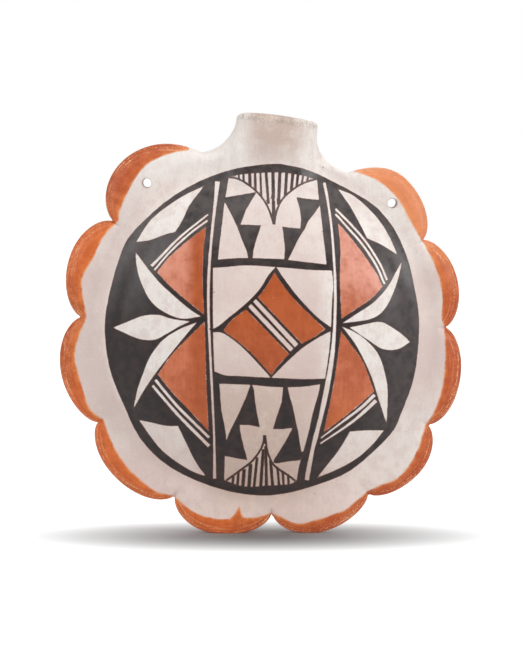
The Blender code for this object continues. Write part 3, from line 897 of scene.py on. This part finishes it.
def neck(material):
    """The spout, blended into the body by a skirt all round its foot."""
    rings = neck_rings()
    bm = bmesh.new()
    bmesh.ops.create_circle(bm, segments=NECK_STEPS, radius=1.0)
    first = border = list(bm.edges)
    for _ in rings[1:]:
        border = next_level(bm, border)[0]
    bmesh.ops.bridge_loops(bm, edges=first + border)

    def wrapped(blank):
        """Where the neck's blank goes, each level on its ring."""
        row = blank[:, 2]
        column = np.arctan2(blank[:, 1], blank[:, 0]) / math.tau * NECK_STEPS % NECK_STEPS
        inside = (row > LIP_ROWS + TUBE_ROWS + SKIRT_ROWS + 1.5) | (row < 1.5)
        return between_rings(rings, row, column), inside

    for _ in range(2):
        halve_squares(bm, wrapped, near_fine_line)
    points, inside = wrapped(read_blank(bm))
    return finish_piece("spout", bm, points, inside, "neck", material)


# Finishes

class Tone:
    """A node's output that Python can reckon with: each operator adds a Math node."""

    def __init__(self, recipe, socket):
        self.recipe = recipe
        self.socket = socket

    def math(self, operation, *values):
        """A Math node on this output and other values."""
        return self.recipe.node("ShaderNodeMath", {"operation": operation},
                                dict(enumerate((self, *values))))

    def __add__(self, other):
        return self.math("ADD", other)

    __radd__ = __add__

    def __mul__(self, other):
        return self.math("MULTIPLY", other)

    __rmul__ = __mul__

    def __sub__(self, other):
        return self.math("SUBTRACT", other)

    def __rsub__(self, other):
        return self.math("MULTIPLY_ADD", -1.0, other)

    def squared(self):
        """The square, which is never below zero."""
        return self * self

    def ramp(self, low, high):
        """Zero at low and one at high, easing in between."""
        return self.recipe.node("ShaderNodeMapRange", {"interpolation_type": "SMOOTHSTEP"},
                                {"Value": self, "From Min": low, "From Max": high})


class Recipe:
    """A material or a world and the nodes that make it."""

    def __init__(self, owner, shader="Principled BSDF"):
        owner.use_nodes = True
        self.owner = owner
        self.tree = owner.node_tree
        self.shader = self.tree.nodes[shader]

    def node(self, kind, settings, values, output=0):
        """Any node: its settings first, then the values or links of its sockets."""
        node = self.tree.nodes.new(kind)
        for name, value in settings.items():
            setattr(node, name, value)
        self.fill(node, values)
        return Tone(self, node.outputs[output])

    def fill(self, node, values):
        """Set or link a node's sockets."""
        for name, value in values.items():
            if isinstance(value, Tone):
                self.tree.links.new(value.socket, node.inputs[name])
            else:
                node.inputs[name].default_value = value

    def attribute(self, name, output=2):
        """What a piece stores under a name."""
        return self.node("ShaderNodeAttribute", {"attribute_name": name}, {}, output)

    def blend(self, factor, first, second):
        """Colours mixed by a factor."""
        return self.node("ShaderNodeMix", {"data_type": "RGBA"}, {0: factor, 6: first, 7: second}, 2)

    def coats(self, surface, *coats):
        """Colours laid over a surface one after another, each by its own mask."""
        for mask, paint in coats:
            surface = self.blend(mask, surface, paint)
        return surface

    def stretched(self, vector, stretch):
        """A vector with each axis scaled by its own number."""
        return self.node("ShaderNodeVectorMath", {"operation": "MULTIPLY"}, {0: vector, 1: stretch})

    def noise(self, vector, scale, detail=2.0, rough=0.5):
        """Noise that stays about between zero and one; the scale is in waves per unit of the vector."""
        return self.node("ShaderNodeTexNoise", {},
                         {"Vector": vector, "Scale": scale, "Detail": detail, "Roughness": rough})

    def dots(self, vector, scale, outer, inner):
        """Scattered round dots, soft between the outer and the inner radius."""
        distance = self.node("ShaderNodeTexVoronoi", {}, {"Vector": vector, "Scale": scale})
        return distance.ramp(outer, inner)


def linear(value):
    """The share of light that one channel's value on screen, from 0 to 255, stands for."""
    share = value / 255
    return share / 12.92 if share < 0.04045 else ((share + 0.055) / 1.055) ** 2.4


def colour(red, green, blue):
    """A colour written as it shows on screen."""
    return linear(red), linear(green), linear(blue), 1.0


SLIP = colour(223, 208, 200)
# Pinkish slip for random tone, and painted shade on the left flank
PINKISH_SLIP_AND_PAINTED_SHADE = colour(212, 192, 186)
# Painted light near the bottom
PAINTED_BOTTOM_LIGHT = colour(234, 210, 200)
# Paler slip: the grain's light flecks, and painted light on the top, the sides and the neck
PALE_SLIP_AND_PAINTED_LIGHT = colour(235, 229, 223)
WARM_SLIP = colour(208, 184, 172)
HANDLED_SLIP = colour(192, 165, 148)
BACK_SLIPS = (colour(216, 202, 190), colour(198, 178, 163))
BARE_CLAY = colour(150, 118, 98)
BLACKS = (colour(28, 18, 17), colour(48, 34, 31))
# Painted sheen on the black
BLACK_SHEEN = colour(90, 83, 81)
BLACK_FRINGE = colour(104, 52, 36)
ORANGES = (colour(178, 86, 46), colour(206, 116, 78))
# Painted sheen on the orange
DEEP_ORANGE = colour(208, 104, 36)
ORANGE_SHEEN = colour(238, 176, 158)
DIAMOND_ORANGES = (colour(164, 72, 24), colour(184, 90, 42))
INNER_LOBES = (colour(194, 92, 30), colour(226, 130, 56))
OUTER_LOBES = (colour(168, 68, 18), colour(206, 106, 52))
# Painted highlight on the upper lobes
LOBE_HIGHLIGHT = colour(244, 160, 112)
# Painted shade on the lobes
LOBE_SHADE = colour(168, 56, 8)
CLEAR_LOBE = colour(228, 108, 36)
LOBE_WASH = colour(234, 192, 156)
WORN_PAINT = colour(238, 190, 140)
WORN_LIP = colour(156, 142, 130)
SPECK = colour(96, 80, 72)


def painted_clay(name):
    """Slip, black paint and orange paint over fired clay, all laid by hand and left unglazed.

    Places and widths are in millimetres, and the other numbers are shares of a mask or a noise.
    """
    recipe = Recipe(bpy.data.materials.new(name))
    noise, dots, blend, coats = recipe.noise, recipe.dots, recipe.blend, recipe.coats
    place = recipe.stretched(recipe.node("ShaderNodeTexCoord", {}, {}, 3), (METRE,) * 3)
    across, depth, height = (recipe.node("ShaderNodeSeparateXYZ", {}, {0: place}, axis)
                             for axis in range(3))
    black, orange, lobe, inside = map(recipe.attribute, ("black", "orange", "lobe", "inside"))
    sweep = recipe.attribute("sweep", 1)
    past_edge = recipe.node("ShaderNodeSeparateXYZ", {}, {0: sweep}, 1)
    above = height - float(DISC_MIDDLE[2])
    wide, tall = across.squared(), above.squared()

    # Unevenness of hand, brush and clay
    cloud = noise(place, 0.035, 3.0, 0.55)
    mottle = noise(place, 0.24, 4.0, 0.6)
    grain = noise(place, 1.7, 3.0, 0.6)
    rubbed = noise(recipe.stretched(place, (1.1, 0.3, 0.13)), 1.0, 4.0, 0.6)
    streak = noise(recipe.stretched(sweep, (0.10, 1.1, 0.5)), 1.0, 5.0, 0.65)
    wobble = (noise(place, 0.30, 2.0, 0.5) - 0.5) * 0.34 + (noise(place, 1.1, 3.0, 0.6) - 0.5) * 0.30
    specks = dots(place, 0.085, 0.036, 0.022)
    chips = dots(place, 0.34, 0.10, 0.05)

    # Slip
    on_neck = height.ramp(148.0, 160.0)
    # Painted light: the neck's left and right sides are paler, as if lit
    lit_neck_sides = on_neck * (across - 4.0).squared().ramp(8.0 ** 2, 13.0 ** 2)
    # Painted light: the neck's left side is paler still, over its shaded band
    lit_neck_left = on_neck * across.ramp(0.0, -9.0)
    # Painted light: the slip on the disc's left and right sides, among the figures, is paler
    figures = wide.ramp(22.0 ** 2, 31.0 ** 2) * (wide + tall).math("SQRT").ramp(68.0, 64.0)
    # Painted shade: the slip on the left flank is darker and pinker
    shaded_left_flank = across.ramp(-55.0, -75.0) * tall.ramp(40.0 ** 2, 12.0 ** 2)
    # Painted light: paler slip on the upper and lower right
    lit_right_shoulders = across.ramp(25.0, 55.0) * tall.ramp(18.0 ** 2, 38.0 ** 2)
    handled = (wide * 0.0011).ramp(1.0, 0.0) * height.ramp(95.0, 50.0) * height.ramp(4.0, 24.0)
    handled = handled + ((across - 6.0).squared() * 0.0045).ramp(1.2, 0.0) * height.ramp(155.0, 170.0)
    lip = (height + across * 0.127).ramp(174.6, 176.6) * depth.ramp(4.0, -4.0)
    back_slip = blend((cloud * 0.8 + rubbed * 0.2).ramp(0.38, 0.64), *BACK_SLIPS)
    slip = coats(
        SLIP,
        (cloud.ramp(0.36, 0.66), PINKISH_SLIP_AND_PAINTED_SHADE),
        # Painted light: the slip turns paler towards the top, where the light falls from above
        (height.ramp(105.0, 160.0) * 0.6, PALE_SLIP_AND_PAINTED_LIGHT),
        # Painted light on the neck's sides
        (lit_neck_sides * 0.85, PALE_SLIP_AND_PAINTED_LIGHT),
        # Painted light: the slip turns lighter towards the bottom
        (height.ramp(45.0, 10.0) * 0.5, PAINTED_BOTTOM_LIGHT),
        # Painted light on the disc's sides, weaker near the bottom
        (figures * (above.ramp(-50.0, -15.0) * 0.5 + 0.4), PALE_SLIP_AND_PAINTED_LIGHT),
        # Painted shade on the left flank
        (shaded_left_flank * 0.45, PINKISH_SLIP_AND_PAINTED_SHADE),
        # Painted light on the right
        (lit_right_shoulders * 0.6, PALE_SLIP_AND_PAINTED_LIGHT),
        (handled * mottle.ramp(0.0, 0.70) * 0.95, HANDLED_SLIP),
        (mottle.ramp(0.42, 0.66) * 0.5, PINKISH_SLIP_AND_PAINTED_SHADE),
        # Painted light on the neck's left
        (lit_neck_left * 0.6, PALE_SLIP_AND_PAINTED_LIGHT),
        (rubbed.ramp(0.50, 0.72) * 0.22, WARM_SLIP),
        (depth.ramp(2.0, 9.0), back_slip),
        (grain.ramp(0.54, 0.74) * 0.35, HANDLED_SLIP),
        (grain.ramp(0.44, 0.26) * 0.4, PALE_SLIP_AND_PAINTED_LIGHT),
        (specks * 0.7, SPECK),
        (lip * (mottle * 0.5 + grain * 0.5).ramp(0.46, 0.58) * 0.5, WORN_LIP),
        (chips * lip * 0.6, SPECK),
    )

    # Orange of the lobes
    lobe_mask = (lobe + wobble * 1.6).ramp(-0.15, 0.6)
    laid_lobe = (mottle * 0.5 + streak * 0.25 + grain * 0.25).ramp(0.40, 0.60)
    # Painted shade: darker, deeper red on the right lobes below the top and on the upper left lobes
    lobe_shade = across.ramp(0.0, 25.0) * above.ramp(40.0, 0.0)
    lobe_shade = lobe_shade + across.ramp(-30.0, -45.0) * above.ramp(50.0, 65.0)
    clearer = across.ramp(-5.0, -15.0) * above.ramp(55.0, 40.0) * tall.ramp(12.0 ** 2, 28.0 ** 2)
    thin = (lobe + wobble * 2.0).ramp(1.1, 0.3) * mottle.ramp(0.3, 0.6)
    worn = (past_edge + streak * 5.0).ramp(-2.5, 2.5) * (grain * 0.5 + streak * 0.5).ramp(0.52, 0.60)
    lobe_paint = coats(
        blend(laid_lobe, *INNER_LOBES),
        ((lobe + mottle * 3.0).ramp(1.5, 5.5), blend(laid_lobe, *OUTER_LOBES)),
        # Painted highlight: the upper lobes are lighter, most on the right
        (above.ramp(10.0, 55.0) * (across.ramp(20.0, 50.0) * 0.45 + 0.06), LOBE_HIGHLIGHT),
        # Painted shade on the lobes
        (lobe_shade * 0.35, LOBE_SHADE),
        (clearer * 0.35, CLEAR_LOBE),
        (thin * 0.6, LOBE_WASH),
        (worn * 0.75, WORN_PAINT),
    )

    # Orange of the figures
    orange_mask = (orange + wobble).ramp(-0.12, 0.12)
    laid = (rubbed * 0.2 + mottle * 0.4 + cloud * 0.4).ramp(0.38, 0.62)
    # Painted sheen: the orange turns pale pink in mottled patches over the upper half, more on the right
    orange_sheen = above.ramp(4.0, 28.0) * (across.ramp(-10.0, 40.0) * 0.2 + 0.36) * mottle.ramp(0.1, 0.6)
    orange_paint = coats(
        blend(laid, *ORANGES),
        (above.ramp(-18.0, -42.0) * 0.6, DEEP_ORANGE),
        # Painted sheen on the orange
        (orange_sheen, ORANGE_SHEEN),
        (wide.ramp(32.0 ** 2, 26.0 ** 2), blend(laid, *DIAMOND_ORANGES)),
        (chips * grain.ramp(0.5, 0.6) * 0.5, WORN_PAINT),
    )

    # Black of the figures
    brushed = black + wobble * 0.9
    black_mask = brushed.ramp(-0.12, 0.12)
    # Painted sheen: the black turns greyer in mottled patches towards the top and the right
    black_sheen = above.ramp(15.0, 50.0) * 0.5 + across.ramp(35.0, 60.0) * 0.35
    black_paint = coats(
        blend(mottle.ramp(0.38, 0.68), *BLACKS),
        # Painted sheen on the black
        (black_sheen * mottle.ramp(0.2, 0.6), BLACK_SHEEN),
        (brushed.ramp(0.5, 0.05) * 0.65, BLACK_FRINGE),
    )

    surface = coats(slip, (lobe_mask, lobe_paint), (orange_mask, orange_paint),
                    (black_mask, black_paint), (inside, BARE_CLAY))
    roughness = 0.60 - black_mask * 0.20 - orange_mask * 0.22 - lobe_mask * 0.10 + (grain - 0.5) * 0.2
    relief = grain * 0.35 + mottle * 0.8 + rubbed * 0.3 + black_mask * 0.35 + streak * lobe_mask * 0.5
    bump = recipe.node("ShaderNodeBump", {}, {"Strength": 0.35, "Distance": 0.00025, "Height": relief})
    recipe.fill(recipe.shader, {"Base Color": surface, "Roughness": roughness, "Normal": bump,
                                "Specular IOR Level": 0.5})
    return recipe.owner


# Stage, light and camera; sizes in metres

FLOOR_HALF_SIZE = 3.0
FLOOR_GREY = 0.8
# Painted shadow: the camera sees a dim grey floor whose glow fades out over a flat ellipse round the
# canteen; the real shadow falls on it as well
SEEN_FLOOR_GREY = 0.19
PAINTED_SHADOW_MIDDLE = (0.0, -0.0095, 0.0)
PAINTED_SHADOW_STRETCH = (9.1, 24.5, 0.0)
PAINTED_SHADOW_FADE = 1.8
SURROUND_LIGHT = 0.32
# Each lamp's name, place, side and power
LAMPS = (
    ("right_lamp", (1.25, -0.62, 0.5), 0.4, 7.2),
    ("left_lamp", (-1.2, -0.65, 0.7), 0.8, 7.4),
    ("top_lamp", (0.15, -0.45, 1.12), 1.3, 7.9),
    ("back_lamp", (0.3, 1.4, 0.8), 0.9, 8.0),
)
LAMP_TARGET = Vector((0.0, 0.0, 0.09))
SENSOR_WIDTH = 36.0


def grey(level):
    """A grey from black at zero to white at one."""
    return level, level, level, 1.0


def floor():
    """A white floor that runs out of sight and keeps the canteen's shadow, with a painted shadow where
    its glow fades out round the canteen.
    """
    bm = bmesh.new()
    bmesh.ops.create_grid(bm, x_segments=1, y_segments=1, size=FLOOR_HALF_SIZE)
    piece = built("floor", bm)
    recipe = Recipe(bpy.data.materials.new("floor_white"))
    place = recipe.node("ShaderNodeTexCoord", {}, {}, 3)
    place = recipe.node("ShaderNodeVectorMath", {"operation": "SUBTRACT"}, {0: place, 1: PAINTED_SHADOW_MIDDLE})
    away = recipe.node("ShaderNodeVectorMath", {"operation": "LENGTH"},
                       {0: recipe.stretched(place, PAINTED_SHADOW_STRETCH)}, 1)
    # Painted shadow: no glow at the ellipse's middle, full glow at its rim and beyond
    glow = away.math("POWER", PAINTED_SHADOW_FADE).math("MINIMUM", 1.0)
    seen = recipe.node("ShaderNodeLightPath", {}, {}, 0)
    ground = recipe.blend(seen, grey(FLOOR_GREY), grey(SEEN_FLOOR_GREY))
    shining = recipe.blend(seen * glow, grey(0.0), grey(1.0))
    recipe.fill(recipe.shader, {"Base Color": ground, "Roughness": 1.0, "Emission Color": shining,
                                "Emission Strength": 1.0})
    piece.data.materials.append(recipe.owner)


def lamp(name, place, size, power):
    """A square area lamp pointed at the canteen."""
    data = bpy.data.lights.new(name, "AREA")
    data.shape = "SQUARE"
    data.size = size
    data.energy = power
    piece = placed(name, data)
    piece.location = place
    piece.rotation_euler = (LAMP_TARGET - Vector(place)).to_track_quat("-Z", "Y").to_euler()


def studio():
    """Even light from a pale surround and four lamps."""
    world = bpy.data.worlds.new("surround")
    bpy.context.scene.world = world
    recipe = Recipe(world, "Background")
    seen = recipe.node("ShaderNodeLightPath", {}, {}, 0)
    strength = recipe.node("ShaderNodeMapRange", {},
                           {"Value": seen, "To Min": SURROUND_LIGHT, "To Max": 1.0})
    recipe.fill(recipe.shader, {"Color": grey(1.0), "Strength": strength})
    for row in LAMPS:
        lamp(*row)


def camera():
    """The photograph's own viewpoint."""
    data = bpy.data.cameras.new("camera")
    data.sensor_fit = "HORIZONTAL"
    data.sensor_width = SENSOR_WIDTH
    data.lens = SENSOR_WIDTH * CAMERA_DISTANCE / (IMAGE_WIDTH * PIXEL_SIZE)
    data.clip_start = 0.01
    data.clip_end = 20.0
    piece = placed("camera", data)
    piece.location = (CAMERA_PLACE + DISC_MIDDLE) / METRE
    piece.rotation_euler = (math.pi / 2 - CAMERA_ELEVATION, 0.0, 0.0)
    bpy.context.scene.camera = piece


for piece in (front_bowl(painted_clay("painted_front")), back_bowl(painted_clay("plain_back")),
              scalloped_rim(painted_clay("painted_rim")), neck(painted_clay("slipped_neck"))):
    paint_piece(piece)
floor()
studio()
camera()
bpy.context.scene.view_settings.view_transform = "Standard"
